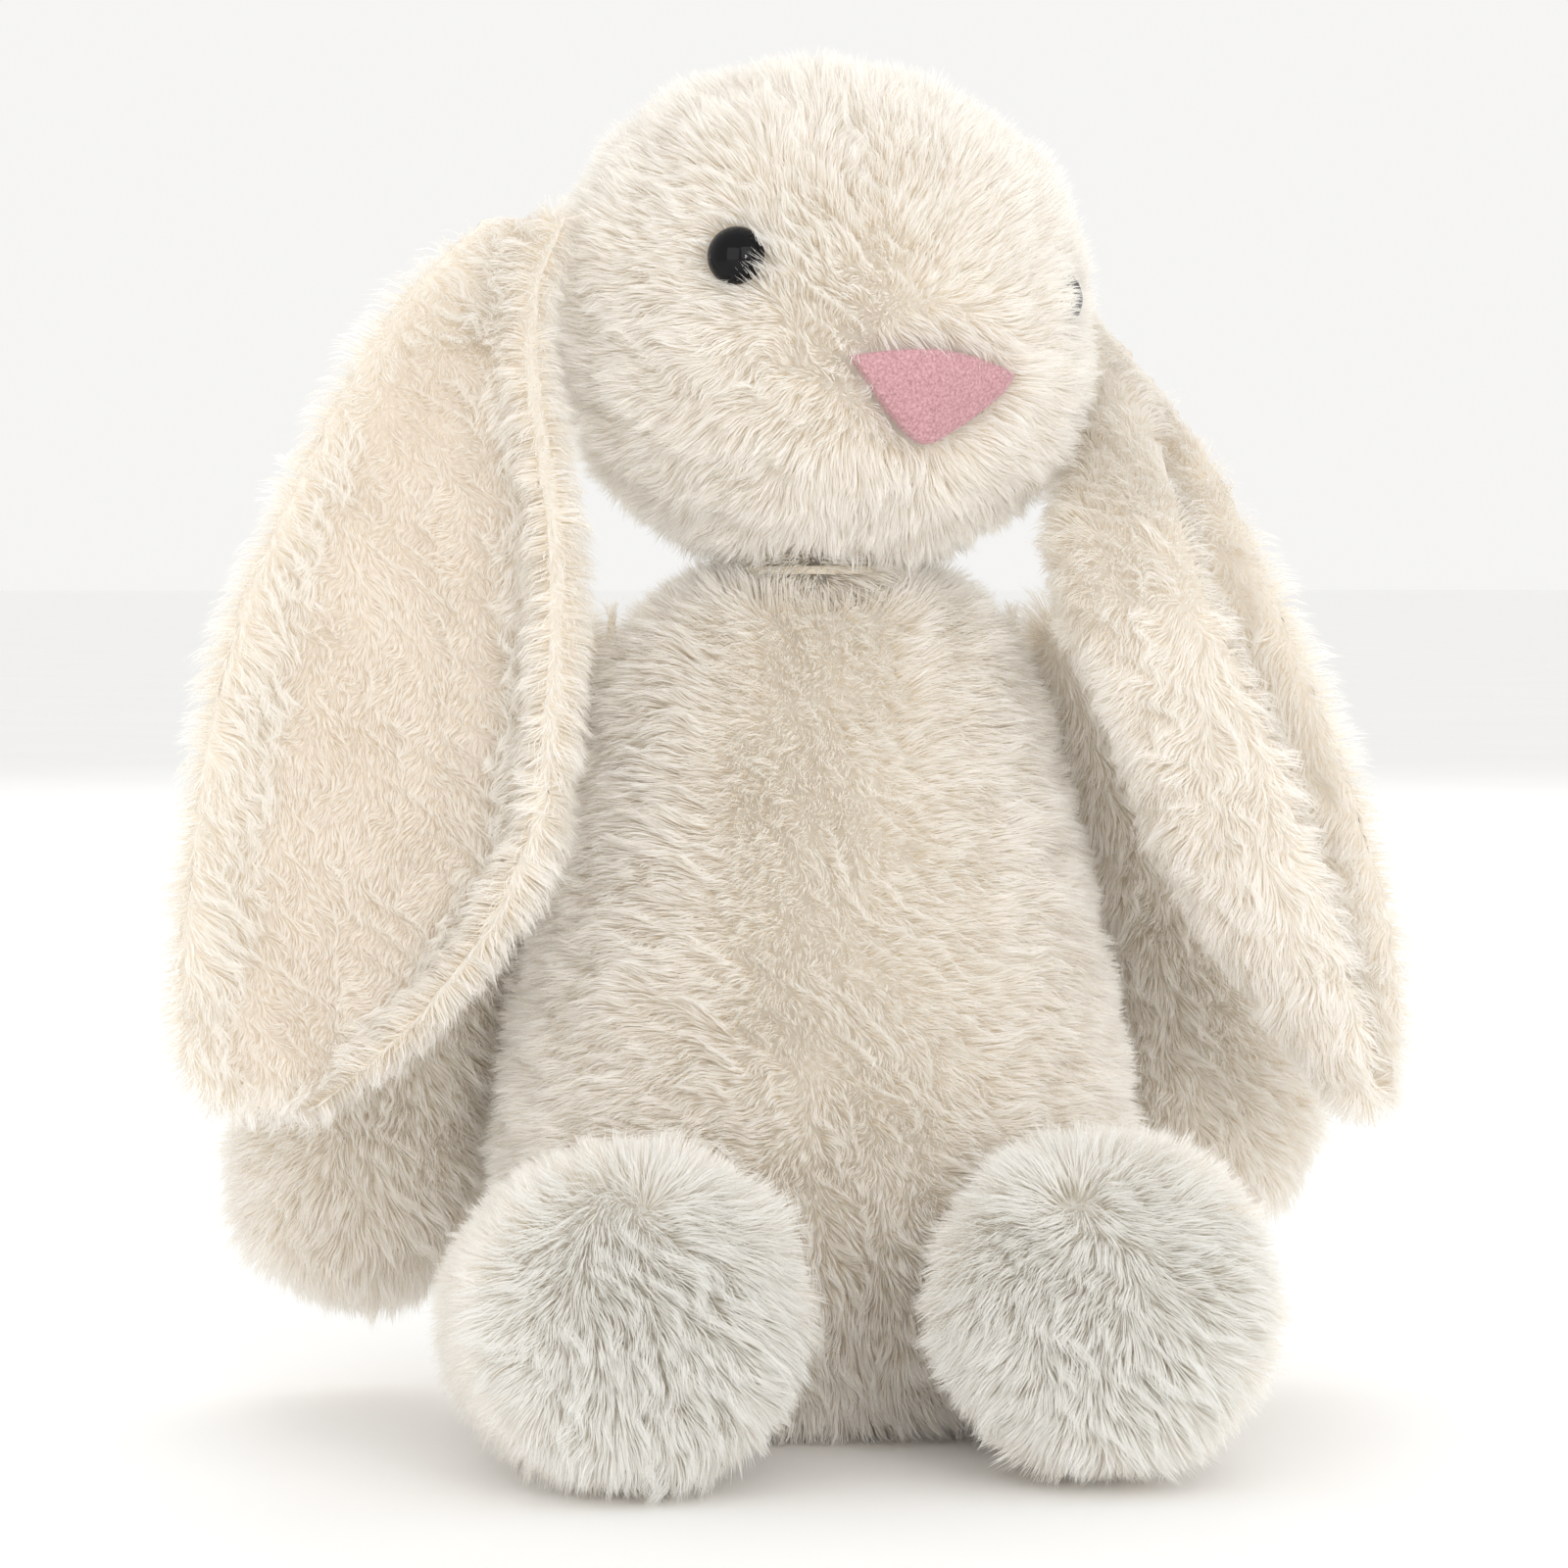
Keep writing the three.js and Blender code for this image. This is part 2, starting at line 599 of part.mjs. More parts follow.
function buildArm(name) {
  const side = sideOf(name);
  const chain = ARMS[name];
  const form = (inset) => limbForm(chain, side, inset, { flatness: ARM_FLATNESS });
  const { along, point } = limbSplit(chain, side);
  const normal = new THREE.Vector3(0, 1, 0).cross(along).multiplyScalar(-side).normalize();
  const arm = new THREE.Group();
  arm.add(...limbHalves(`arm_${name}`, form(0).subtract(form(COVER)), { point, normal }));
  arm.add(part(`arm_${name}_stuffing`, form(COVER + FILL_GAP), fill));
  return arm;
}

function buildLeg(name) {
  const side = sideOf(name);
  const chain = LEGS[name];
  const form = (inset) => limbForm(chain, side, inset, { endFlat: SOLE_DOME });
  const { along, point } = limbSplit(chain, side);
  const normal = new THREE.Vector3(0, 0, 1).cross(along).multiplyScalar(side).normalize();
  const [x, y, z] = chain.at(-1);
  const soleSeam = new THREE.Vector3(side * x, y, z);
  const cover = form(0).subtract(form(COVER));
  const sleeve = cover.intersect(
    halfSpace(soleSeam.clone().addScaledVector(along, -SEAM), along.clone().negate()),
  );
  const leg = new THREE.Group();
  leg.add(...limbHalves(`leg_${name}`, sleeve, { point, normal }));
  leg.add(part(`leg_${name}_sole`, cover.intersect(halfSpace(soleSeam, along)), pawPlush));
  leg.add(part(`leg_${name}_stuffing`, form(COVER + FILL_GAP), fill));
  return leg;
}

// ---- Tail ---------------------------------------------------------------------------------------
function buildTail() {
  const tail = new THREE.Group();
  const centre = new THREE.Vector3(0, TAIL.y, TAIL.z);
  const beyond = halfSpace(new THREE.Vector3(0, TAIL.cut, 0), new THREE.Vector3(0, 1, 0));
  const cover = ball(centre, TAIL.radius).subtract(ball(centre, TAIL.radius - COVER));
  const core = ball(centre, TAIL.radius - COVER - FILL_GAP);
  const seam = new THREE.Vector3(0, TAIL.cut - TAIL_SEAM.sunk, TAIL.z);
  const loop = threadLoop(seam, new THREE.Vector3(0, 1, 0), TAIL_SEAM.radius, TAIL_SEAM.thread);
  tail.add(part("tail_cover", cover.intersect(beyond), plush));
  tail.add(part("tail_stuffing", core.intersect(beyond), fill));
  tail.add(part("tail_stitching", loop, thread));
  return tail;
}

// ---- Ears ---------------------------------------------------------------------------------------
// A sheet that follows an ear's curled strip, between two rows and two columns of the strip's grid.
// near and far are the distances of its two faces in front of the strip's middle surface.
function earSheet({ stations, section }, side, [near, far], [top, tip], [inner, outer]) {
  const down = new THREE.CatmullRomCurve3(stations.map(([z, x, y]) => new THREE.Vector3(side * x, y, z)));
  const widths = new THREE.SplineCurve(stations.map(([, , , width], i) => new THREE.Vector2(i, width)));
  const strip = new THREE.SplineCurve(section.map(([across, back]) => new THREE.Vector2(across, back)));
  const point = (row, column, offset) => {
    const t = (top + row) / EAR_GRID.rows;
    const share = (inner + column) / EAR_GRID.columns;
    const centre = down.getPoint(t);
    const half = widths.getPoint(t).y;
    const on = strip.getPointAt(share);
    const along = strip.getTangentAt(share);
    const out = offset * Math.min(1, half / EAR_FULL_HALF) * side;
    return new THREE.Vector3(
      centre.x + on.x * half + along.y * out,
      centre.y + on.y * half - along.x * out,
      centre.z,
    );
  };
  return sheet(
    tip - top + 1,
    outer - inner + 1,
    (row, column) => point(row, column, near),
    (row, column) => point(row, column, far),
  );
}

function buildEar(name) {
  const ear = new THREE.Group();
  const side = sideOf(name);
  const face = EAR_THICK / 2;
  const bottom = face + 3 * SEAM;
  const all = [[0, EAR_GRID.rows], [0, EAR_GRID.columns]];
  const outer = earSheet(EARS[name], side, [face, -face], ...all);
  const lining = earSheet(EARS[name], side, [bottom + LINING_THICK, bottom], ...EARS[name].lining);
  ear.add(part(`ear_${name}_outer`, outer, plush));
  ear.add(part(`ear_${name}_lining`, lining, liningPlush));
  return ear;
}

// ---- The whole rabbit ---------------------------------------------------------------------------
const rabbit = new THREE.Group();
rabbit.add(buildTorso(), buildNeck(), buildHead(), buildTail());
for (const name of SIDES) rabbit.add(buildArm(name), buildLeg(name), buildEar(name));

// The origin is the centre of the rabbit's footprint, on the surface it sits on.
const bounds = new THREE.Box3().setFromObject(rabbit);
const footprint = bounds.getCenter(new THREE.Vector3());
rabbit.position.set(-footprint.x, -footprint.y, -bounds.min.z);

export default rabbit;
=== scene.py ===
"""The looks of the stuffed bunny rabbit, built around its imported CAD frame.

Each cover panel becomes one piece: a backing cloth with its pile of strands sewn on it. The backing of each
stuffed part is puffed up between its seams by a cloth simulation, and the strands grow from the result.
"""
import json
import math

import bpy
import numpy as np
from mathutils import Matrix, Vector
from mathutils.bvhtree import BVHTree
from mathutils.kdtree import KDTree


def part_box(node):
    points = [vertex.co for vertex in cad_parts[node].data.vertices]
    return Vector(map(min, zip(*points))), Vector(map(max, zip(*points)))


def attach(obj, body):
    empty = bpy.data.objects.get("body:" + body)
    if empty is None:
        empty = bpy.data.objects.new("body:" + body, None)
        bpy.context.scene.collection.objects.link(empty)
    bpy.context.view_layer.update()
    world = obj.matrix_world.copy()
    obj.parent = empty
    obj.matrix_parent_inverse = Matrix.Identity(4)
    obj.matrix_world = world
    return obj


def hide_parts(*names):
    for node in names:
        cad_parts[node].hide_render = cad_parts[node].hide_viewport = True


MM = 0.001
SEED = 7

# The stuffed parts: the body that each rides on, its cover panels and its stuffing.
PARTS = {
    "torso": ("torso", ["body_front_left", "body_front_right", "body_back_left", "body_back_right",
                        "body_base"], "body_stuffing"),
    "head": ("head", ["head_gusset", "head_side_left", "head_side_right"], "head_stuffing"),
    "arm_left": ("arm_left", ["arm_left_outer", "arm_left_inner"], "arm_left_stuffing"),
    "arm_right": ("arm_right", ["arm_right_outer", "arm_right_inner"], "arm_right_stuffing"),
    "leg_left": ("leg_left", ["leg_left_outer", "leg_left_inner", "leg_left_sole"],
                 "leg_left_stuffing"),
    "leg_right": ("leg_right", ["leg_right_outer", "leg_right_inner", "leg_right_sole"],
                  "leg_right_stuffing"),
    "tail": ("torso", ["tail_cover"], "tail_stuffing"),
    "ear_left": ("ear_left", ["ear_left_outer", "ear_left_lining"], None),
    "ear_right": ("ear_right", ["ear_right_outer", "ear_right_lining"], None),
    "neck": ("neck", ["neck_stuffing"], None),
}
STUFFED_VOXEL = 5 * MM
THIN_VOXEL = 2.6 * MM
STUFFED_DEPTH = 6.5 * MM      # how far the backing cloth lies under the CAD surface
THIN_DEPTH = 2.4 * MM
PRESSED_DEPTH = 1.0 * MM      # the same where two parts press together
PRESSED_GAPS = (5 * MM, 24 * MM)   # the gaps between which the depth goes from pressed to free
SEAM_PULL = 2.2 * MM          # how far a seam draws the cloth in further
PUFF_CAP = 3.5 * MM           # the furthest that the pressure may push the cloth out
PUFF_SHARE = 0.55             # and the same as a share of how deep the cloth was sunk
SIMULATION_FRAMES = 20
PANEL_REACH = 50 * MM         # how far a piece of cloth may lie from the panel that it belongs to
STUFFING_GAP = 6.0 * MM       # between a backing cloth and the stuffing inside it

# A coat: strands per square mm, rise over the cloth, sideways lay, strand width and clump spacing, in mm,
# how far a clump's tips draw together, and how far the lay swirls, in radians.
COAT_TERMS = ("density", "rise", "lay", "width", "clump", "bunch", "swirl")
COATS = {name: dict(zip(COAT_TERMS, terms)) for name, terms in {
    "cream": (1.9, 11.2, 4.2, 0.34, 2.2, 0.14, 0.42),
    "face": (2.4, 10.4, 3.4, 0.31, 1.8, 0.14, 0.5),
    "sole": (2.4, 11.0, 7.0, 0.33, 2.4, 0.2, 0.3),
    "ear": (1.7, 7.6, 5.6, 0.34, 2.2, 0.2, 0.45),
    "lining": (2.6, 4.8, 3.2, 0.32, 1.8, 0.15, 0.45),
    "collar": (2.4, 15.0, 3.0, 0.4, 3.0, 0.3, 0.3),
}.items()}
STEPS = np.array([0.0, 0.52, 1.0])          # where a strand has its points, from root to tip
TAPER = 0.45                  # how much a strand narrows on the way to its pointed tip
STRAY = 0.16                  # how far a strand strays from the lay, as a share of it
TWIST = 0.18                  # how far a strand's flat side turns from facing out
BENDS = ((42 * MM, 0.7), (15 * MM, 0.9), (7 * MM, 0.9))   # the swirl's waves: length and share
FLOOR_GAP = 0.4 * MM          # the least height of a strand over the floor
LEAST_RISE = 3.5 * MM         # the least rise of a strand, however near the next part is
FREE_SHARE = 0.8              # the share of a gap between two parts that each one's pile may fill
RIM_ROUNDING = 3              # rounds of averaging that fan the pile over a thin piece's rim
CLOTH_SHADE = 0.3             # the backing cloth's place on the root to tip colours
GLOW_SHARE = 0.5              # how much of the light goes through a strand instead of off it

# The eyes, as shares of a bead's radius where no unit is given.
EYE_SINK = {"left": 5.5 * MM, "right": 2.6 * MM}   # how far each bead is pulled into the pile round it
EYE_BARE = 0.8                # the disc round a bead's axis that no strand grows from
EYE_REACH = 7 * MM            # how far out from a bead the pile is combed away from it
EYE_COMB = 0.1                # how strongly
DOME_HEIGHT = 0.78
RIM_PROFILE = ((0.97, -0.88), (0.8, -0.93))        # the bead's rounded back edge: radius and depth
SHANK_RADIUS = 2.2 * MM
RIB_GROOVE = 1.8 * MM         # the shank's radius between two ribs
SHANK_RIBS = 6

# The pile that stands round a shoulder's stitches.
BAND_SEGMENTS = 24
BAND_INSET = 0.9              # the band's radius, as a share of the stitching's
BAND_RISE = 7 * MM

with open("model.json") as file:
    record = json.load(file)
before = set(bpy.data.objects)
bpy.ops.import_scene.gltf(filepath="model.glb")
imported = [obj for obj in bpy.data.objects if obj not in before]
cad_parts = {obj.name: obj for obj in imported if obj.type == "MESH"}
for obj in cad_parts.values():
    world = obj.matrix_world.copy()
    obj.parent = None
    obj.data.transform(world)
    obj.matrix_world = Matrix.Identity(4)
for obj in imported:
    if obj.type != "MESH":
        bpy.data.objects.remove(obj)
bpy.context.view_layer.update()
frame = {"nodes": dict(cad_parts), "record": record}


# ---------- small helpers ----------

def unit(v):
    """Vectors of length 1 along the last axis."""
    return v / np.maximum(np.linalg.norm(v, axis=-1, keepdims=True), 1e-12)


def dot(a, b):
    return (a * b).sum(-1, keepdims=True)


def tangent(v, normal):
    """The part of v that lies along the surface, of length 1."""
    return unit(v - normal * dot(v, normal))


def smooth_step(value, low, high):
    t = np.clip((value - low) / (high - low), 0, 1)
    return t * t * (3 - 2 * t)


def waves(points, wavelength, seed, count=7):
    """Smooth noise of about unit size over space."""
    rng = np.random.default_rng(seed)
    direction = unit(rng.normal(size=(count, 3)))
    number = 2 * math.pi / wavelength * rng.uniform(0.7, 1.4, count)
    phase = rng.uniform(0, 2 * math.pi, count)
    return np.sin(points @ (direction * number[:, None]).T + phase).sum(1) / math.sqrt(count / 2)


def middle(node):
    low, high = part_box(node)
    return np.array((low + high) / 2)


def points_of(mesh):
    co = np.empty(len(mesh.vertices) * 3, np.float32)
    mesh.vertices.foreach_get("co", co)
    return co.reshape(-1, 3).astype(float)


def mesh_from(name, points, faces):
    mesh = bpy.data.meshes.new(name)
    mesh.from_pydata(points.tolist(), [], [list(f) for f in faces])
    mesh.update()
    return mesh


def place(name, mesh):
    obj = bpy.data.objects.new(name, mesh)
    bpy.context.scene.collection.objects.link(obj)
    return obj


def drop(obj):
    mesh = obj.data
    bpy.data.objects.remove(obj)
    bpy.data.meshes.remove(mesh)


def smooth_shaded(mesh):
    mesh.polygons.foreach_set("use_smooth", np.ones(len(mesh.polygons), bool))


def tree_of(node):
    """A search tree over a CAD node's faces."""
    mesh = frame["nodes"][node].data
    return BVHTree.FromPolygons([v.co for v in mesh.vertices], [p.vertices for p in mesh.polygons])


def add_piece(name, mesh, body, slot, materials, stands_for=None):
    """Places a visible piece that rides on a body, in the material of its slot."""
    mesh.materials.append(materials[slot])
    obj = place(name, mesh)
    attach(obj, body)
    if stands_for:
        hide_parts(stands_for)
    return obj


# ---------- the backing cloth ----------

def joined(nodes):
    """One object that holds copies of CAD nodes' meshes."""
    points, faces, count = [], [], 0
    for node in nodes:
        mesh = frame["nodes"][node].data
        own = points_of(mesh)
        points.append(own)
        faces += [[i + count for i in p.vertices] for p in mesh.polygons]
        count += len(own)
    return place("joined", mesh_from("joined", np.concatenate(points), faces))


def remeshed(nodes, voxel):
    """The outer surface of some CAD nodes as points and even four-sided faces."""
    source = joined(nodes)
    modifier = source.modifiers.new("even", "REMESH")
    modifier.mode = "VOXEL"
    modifier.voxel_size = voxel
    even = bpy.data.meshes.new_from_object(source.evaluated_get(bpy.context.evaluated_depsgraph_get()))
    points = points_of(even)
    faces = np.array([list(p.vertices) for p in even.polygons])
    bpy.data.meshes.remove(even)
    drop(source)
    return outer_island(points, faces)


def outer_island(points, faces):
    """Leaves out the surfaces of inner hollows: keeps the island with the most points."""
    label = np.arange(len(points))
    while True:
        lowest = label[faces].min(1)
        new = label.copy()
        np.minimum.at(new, faces.ravel(), np.repeat(lowest, faces.shape[1]))
        new = new[new]
        if (new == label).all():
            break
        label = new
    keep = label == np.bincount(label).argmax()
    number = np.cumsum(keep) - 1
    return points[keep], number[faces[keep[faces[:, 0]]]]


def distance_to(tree, point, reach):
    """How far a point is from a tree's faces, and reach where it is further than that."""
    found = tree.find_nearest(Vector(point), reach)
    return reach if found[0] is None else found[3]


class Skin:
    """A closed backing cloth: its points, faces and normals, with the panel of each face."""

    def __init__(self, name):
        body, panels, stuffing = PARTS[name]
        is_ear = stuffing is None
        self.name, self.body, self.panels, self.stuffing = name, body, panels, stuffing
        self.voxel = THIN_VOXEL if is_ear else STUFFED_VOXEL
        self.depth = THIN_DEPTH if is_ear else STUFFED_DEPTH
        inner = [stuffing] if stuffing else []
        self.points, self.faces = remeshed(panels + inner, self.voxel)
        self.edges = np.unique(np.sort(np.concatenate(
            [self.faces[:, [k, (k + 1) % 4]] for k in range(4)]), axis=1), axis=0)
        self.smooth(3, 0.5)
        self.panel_of_face = self.nearest_panels()
        self.seam = self.seam_points()

    def normals(self):
        p = self.points[self.faces]
        face = np.cross(p[:, 2] - p[:, 0], p[:, 3] - p[:, 1])
        total = np.zeros_like(self.points)
        for k in range(4):
            np.add.at(total, self.faces[:, k], face)
        return unit(total)

    def average(self, values):
        """Each point's mean over its neighbours."""
        total = np.zeros_like(values)
        np.add.at(total, self.edges[:, 0], values[self.edges[:, 1]])
        np.add.at(total, self.edges[:, 1], values[self.edges[:, 0]])
        count = np.bincount(self.edges.ravel(), minlength=len(values)).astype(float)
        return total / count.reshape((-1,) + (1,) * (values.ndim - 1))

    def smooth(self, times, share):
        for _ in range(times):
            self.points = self.points * (1 - share) + self.average(self.points) * share

    def nearest_panels(self):
        """The number of the panel that each face lies nearest to."""
        trees = [tree_of(node) for node in self.panels]
        gaps = [[distance_to(tree, centre, PANEL_REACH) for tree in trees]
                for centre in self.points[self.faces].mean(1)]
        return np.argmin(gaps, axis=1)

    def seam_points(self):
        """1 at the points where two panels meet, and 0 elsewhere."""
        low = np.full(len(self.points), 99)
        high = np.full(len(self.points), -1)
        for k in range(4):
            np.minimum.at(low, self.faces[:, k], self.panel_of_face)
            np.maximum.at(high, self.faces[:, k], self.panel_of_face)
        return (low != high).astype(float)

    def sink(self, gap):
        """Moves the cloth in from the CAD surface, by less where the next part is near."""
        soft = self.seam.copy()
        for _ in range(2):
            soft = np.maximum(self.seam, self.average(soft))
        pull = 0.0 if self.stuffing is None else SEAM_PULL
        full = self.depth + pull * soft
        self.sunk = PRESSED_DEPTH + (full - PRESSED_DEPTH) * smooth_step(gap, *PRESSED_GAPS)
        for _ in range(3):
            self.sunk = self.average(self.sunk)
        steps = 4
        for _ in range(steps):
            self.points = self.points - self.normals() * (self.sunk / steps)[:, None]
            self.smooth(1, 0.25)


def sink_all(skins):
    """Sinks each skin by what its gap to the other skins' CAD surfaces asks for."""
    trees = [BVHTree.FromPolygons(s.points.tolist(), s.faces.tolist()) for s in skins]
    reach = PRESSED_GAPS[1] * 1.1
    gaps = []
    for skin, own in zip(skins, trees):
        others = [tree for tree in trees if tree is not own]
        gaps.append(np.array([min(distance_to(tree, p, reach) for tree in others) for p in skin.points]))
    for skin, gap in zip(skins, gaps):
        skin.sink(gap)


def puff(skins):
    """Blows the stuffed parts up between their seams with the cloth simulation, all in one run."""
    made = []
    for skin in skins:
        obj = place("cloth", mesh_from("cloth", skin.points, skin.faces))
        group = obj.vertex_groups.new(name="seam")
        group.add(np.flatnonzero(skin.seam > 0.5).tolist(), 1.0, "REPLACE")
        cloth = obj.modifiers.new("cloth", "CLOTH")
        cloth.settings.use_pressure = True
        cloth.settings.uniform_pressure_force = 4
        cloth.settings.effector_weights.gravity = 0
        cloth.settings.vertex_group_mass = "seam"
        cloth.settings.quality = 4
        cloth.collision_settings.use_collision = False
        cloth.point_cache.frame_end = SIMULATION_FRAMES
        made.append(obj)
    scene = bpy.context.scene
    for number in range(1, SIMULATION_FRAMES + 1):
        scene.frame_set(number)
    graph = bpy.context.evaluated_depsgraph_get()
    for skin, obj in zip(skins, made):
        moved = points_of(obj.evaluated_get(graph).data) - skin.points
        length = np.linalg.norm(moved, axis=1, keepdims=True)
        cap = np.minimum(PUFF_CAP, skin.sunk * PUFF_SHARE)[:, None]
        skin.points = skin.points + moved * np.minimum(1, cap / np.maximum(length, 1e-9))
        drop(obj)
    scene.frame_set(1)


# ---------- which way the pile lies ----------

DOWN = np.array([0.0, 0.0, -1.0])
CENTRE_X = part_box("body_front_left")[0].x
NOSE = middle("nose_patch")
HEAD = middle("head_stuffing")
TORSO = middle("body_stuffing")
# Where the crown of each sole's pile is: across from the middle and up from the lower edge, as shares.
SOLE_CROWNS = {"leg_left_sole": (-0.14, 0.88), "leg_right_sole": (0.02, 0.9)}


def lay_torso(p, n):
    side = np.sign(p[:, :1] - CENTRE_X) * smooth_step(np.abs(p[:, :1] - CENTRE_X), 0, 30 * MM)
    across = np.cross(n, DOWN)
    across = across * np.sign(dot(across, np.array([1.0, 0, 0])))
    return DOWN * 0.75 + across * side * 0.8


def lay_head(p, n):
    """Back from the nose, except just above the patch, where the pile hangs over its edge."""
    away = p - (NOSE + DOWN * 4 * MM)
    distance = np.linalg.norm(away, axis=1, keepdims=True)
    near = 1 - smooth_step(distance, 18 * MM, 36 * MM)
    above = smooth_step(-dot(away, DOWN), 8 * MM, 16 * MM) * near
    return away / distance * (0.9 - 1.1 * above) + DOWN * (0.35 + 0.9 * above)


def lay_limb(p, n):
    return DOWN + n * 0.2


def lay_leg(p, n):
    return np.array([0, 0.8, -0.6]) + 0 * p


def lay_sole(crown):
    return lambda p, n: p - crown


def lay_ear(name):
    """Down the ear, and out towards its rims."""
    outwards = np.array([0.1, 0, 0])
    return lambda p, n: DOWN + np.sign(p[:, :1] - middle(name)[0]) * outwards


def lay_tail(p, n):
    return p - TORSO + DOWN * 0.05


def sole_crown(node):
    """The point that the sole's pile grows away from, near its upper edge."""
    low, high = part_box(node)
    across, up = SOLE_CROWNS[node]
    width, height = high.x - low.x, high.z - low.z
    return np.array([(low.x + high.x) / 2 + across * width, low.y, low.z + up * height])


# The coat and the lay of the panels that aren't a sole or on an ear, by the first word of their names.
STYLES = {
    "body": ("cream", lay_torso),
    "tail": ("cream", lay_tail),
    "arm": ("cream", lay_limb),
    "leg": ("cream", lay_leg),
    "head": ("face", lay_head),
    "neck": ("collar", lay_limb),
}


def style_of(node):
    """(coat, lay, material) of a panel."""
    if node.endswith("_sole"):
        return "sole", lay_sole(sole_crown(node)), "plush_sole"
    if node.endswith("_lining"):
        return "lining", lay_ear(node), "plush_lining"
    if node.startswith("ear"):
        return "ear", lay_ear(node), "plush_cream"
    return *STYLES[node.split("_")[0]], "plush_cream"


# ---------- the pile ----------

def scatter(skin, faces, density, rng):
    """Roots spread evenly over some of the skin's faces, with their normals and free heights."""
    corner = skin.points[faces]
    area = np.linalg.norm(np.cross(corner[:, 2] - corner[:, 0], corner[:, 3] - corner[:, 1]), axis=1) / 2
    count = int(area.sum() / MM**2 * density)
    along = (np.arange(count) + rng.uniform(0, 1, count)) / count
    which = np.minimum(np.searchsorted(np.cumsum(area) / area.sum(), along), len(faces) - 1)
    a, b = rng.uniform(0, 1, (2, count, 1))
    share = np.stack([(1 - a) * (1 - b), a * (1 - b), a * b, (1 - a) * b], axis=1)
    ids = faces[which]
    root = (skin.points[ids] * share).sum(1)
    normal = unit((skin.surface_normals[ids] * share).sum(1))
    free = (skin.free[ids][..., None] * share).sum(1)
    return root, normal, free


def free_heights(skins):
    """How far each skin point can see along its normal before it meets any skin."""
    points, faces, count = [], [], 0
    for skin in skins:
        points.append(skin.points)
        faces.append(skin.faces + count)
        count += len(skin.points)
    tree = BVHTree.FromPolygons(np.concatenate(points).tolist(), np.concatenate(faces).tolist())
    reach = 60 * MM
    for skin in skins:
        skin.surface_normals = skin.normals()
        for _ in range(RIM_ROUNDING if skin.stuffing is None else 0):
            skin.surface_normals = unit(skin.average(skin.surface_normals))
        free = np.full(len(skin.points), reach)
        for i, (p, n) in enumerate(zip(skin.points, skin.surface_normals)):
            hit = tree.ray_cast(Vector(p + n * 0.4 * MM), Vector(n), reach)
            if hit[0] is not None:
                free[i] = hit[3]
        for _ in range(2):
            free = np.minimum(free, skin.average(free))
        skin.free = free


def clump_of(root, coat, rng):
    """For each root, the number of the root that its clump gathers round."""
    wanted = max(1, int(len(root) / (coat["density"] * coat["clump"]**2)))
    seeds = rng.choice(len(root), wanted, replace=False)
    tree = KDTree(wanted)
    for i, s in enumerate(seeds):
        tree.insert(root[s], i)
    tree.balance()
    return seeds[np.array([tree.find(p)[1] for p in root])]


def near_features(root, normal, comb):
    """Keeps the pile off the eyes and the nose patch. Returns which roots to keep, and their comb."""
    keep = ~nose_covers(root, normal)
    for eye, axis, radius in EYES.values():
        away = root - eye
        away = away - axis * dot(away, axis)
        distance = np.linalg.norm(away, axis=1, keepdims=True)
        front = dot(root - HEAD, axis) > 0
        near = (1 - smooth_step(distance, radius, radius + EYE_REACH)) * front
        comb = unit(comb + unit(away) * EYE_COMB * near)
        keep &= ~((distance < radius * EYE_BARE) & front)[:, 0]
    return keep, comb


def strands(root, normal, comb, rise, lay, coat, rng):
    """The middle line of each strand and its half width to one side, both (strand, step, 3).

    A strand rises fast and then leans over along comb, and its tip draws towards its clump's.
    """
    count = len(root)
    own = clump_of(root, coat, rng)
    k = STEPS[None, :, None]
    up = np.sin(k * math.pi / 2 * 0.92) / math.sin(math.pi / 2 * 0.92)
    along = 0.35 * k + 0.65 * k**1.8
    length = rng.uniform(0.8, 1.12, (count, 1)) * (0.85 + 0.3 * rng.random((count, 1))[own])
    stray = rng.normal(0, STRAY, (count, 1, 3))
    path = root[:, None] + (normal * rise * length)[:, None] * up
    path = path + (comb * lay * length)[:, None] * along + stray * lay[:, None] * k**1.5 * 0.5
    tip = path[own, -1] - path[:, -1]
    path = path + tip[:, None] * coat["bunch"] * k**2
    path[..., 2] = np.maximum(path[..., 2], FLOOR_GAP)
    forward = unit(path[:, 1:] - path[:, :-1])
    forward = np.concatenate([forward[:, :1], forward], axis=1)
    flat = unit(np.cross(forward, normal[:, None] + rng.normal(0, TWIST, (count, 1, 3))))
    half = coat["width"] * MM / 2 * (1 - TAPER * k) * rng.uniform(0.75, 1.25, (count, 1, 1))
    return path, flat * half


def swirled(comb, root, normal, amount):
    """The comb direction, turned about the surface's normal by smooth waves."""
    swirl = sum(share * waves(root, size, SEED + 20 + i) for i, (size, share) in enumerate(BENDS))
    swirl = swirl * amount
    return comb * np.cos(swirl)[:, None] + np.cross(normal, comb) * np.sin(swirl)[:, None]


